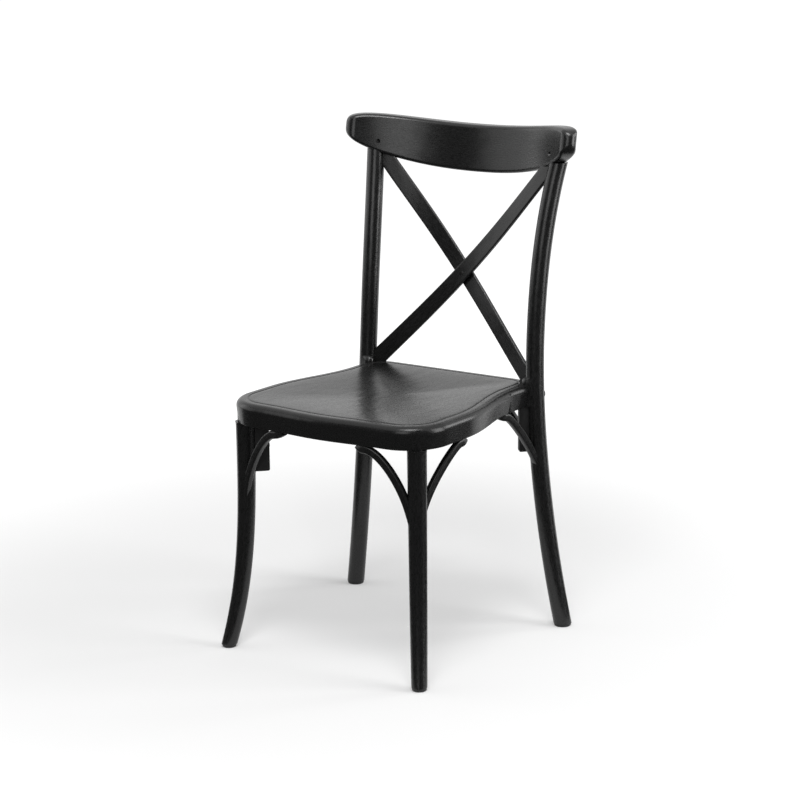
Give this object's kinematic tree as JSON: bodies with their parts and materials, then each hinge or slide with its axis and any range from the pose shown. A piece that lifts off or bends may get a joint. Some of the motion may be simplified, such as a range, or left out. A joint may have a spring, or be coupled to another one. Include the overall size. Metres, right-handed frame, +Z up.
{
  "type": "patio dining chair",
  "caption": "Cross-back bistro-style dining chair in black moulded resin, with a bean-shaped crest, a dished seat, sabre legs and arched braces.",
  "frame": {"origin": "middle of the chair's footprint box, on the floor", "axes": "+Z is up, the sitter faces -Y, and +X is on the right seen from the front"},
  "size_m": [0.4856, 0.539, 0.8821],
  "materials": {
    "black_resin": "satin with a fine wood-like texture",
    "matte_resin": "matte",
    "glide_resin": "matte",
    "black_steel": "black zinc"
  },
  "bodies": {
    "root": {"crest_rail": "black_resin", "crest_screw_left": "black_steel", "crest_screw_right": "black_steel", "cross_slat_front": "black_resin", "cross_slat_rear": "black_resin", "crossing_screw": "black_steel", "foot_glide_front_left": "glide_resin", "foot_glide_front_right": "glide_resin", "foot_glide_rear_left": "glide_resin", "foot_glide_rear_right": "glide_resin", "front_brace_left": "black_resin", "front_brace_left_screw": "black_steel", "front_brace_right": "black_resin", "front_brace_right_screw": "black_steel", "front_leg_left": "black_resin", "front_leg_right": "black_resin", "front_leg_screw_left": "black_steel", "front_leg_screw_right": "black_steel", "front_side_brace_left": "black_resin", "front_side_brace_left_screw": "black_steel", "front_side_brace_right": "black_resin", "front_side_brace_right_screw": "black_steel", "lug_screw_front_left": "black_steel", "lug_screw_front_right": "black_steel", "lug_screw_rear_left": "black_steel", "lug_screw_rear_right": "black_steel", "rear_brace_left": "black_resin", "rear_brace_left_screw": "black_steel", "rear_brace_right": "black_resin", "rear_brace_right_screw": "black_steel", "rear_leg_bolt_left": "black_steel", "rear_leg_bolt_right": "black_steel", "rear_leg_left": "black_resin", "rear_leg_right": "black_resin", "rear_side_brace_left": "black_resin", "rear_side_brace_left_screw": "black_steel", "rear_side_brace_right": "black_resin", "rear_side_brace_right_screw": "black_steel", "seat": "black_resin", "stacking_lug_front_left": "matte_resin", "stacking_lug_front_right": "matte_resin", "stacking_lug_rear_left": "matte_resin", "stacking_lug_rear_right": "matte_resin"}
  },
  "joints": []
}
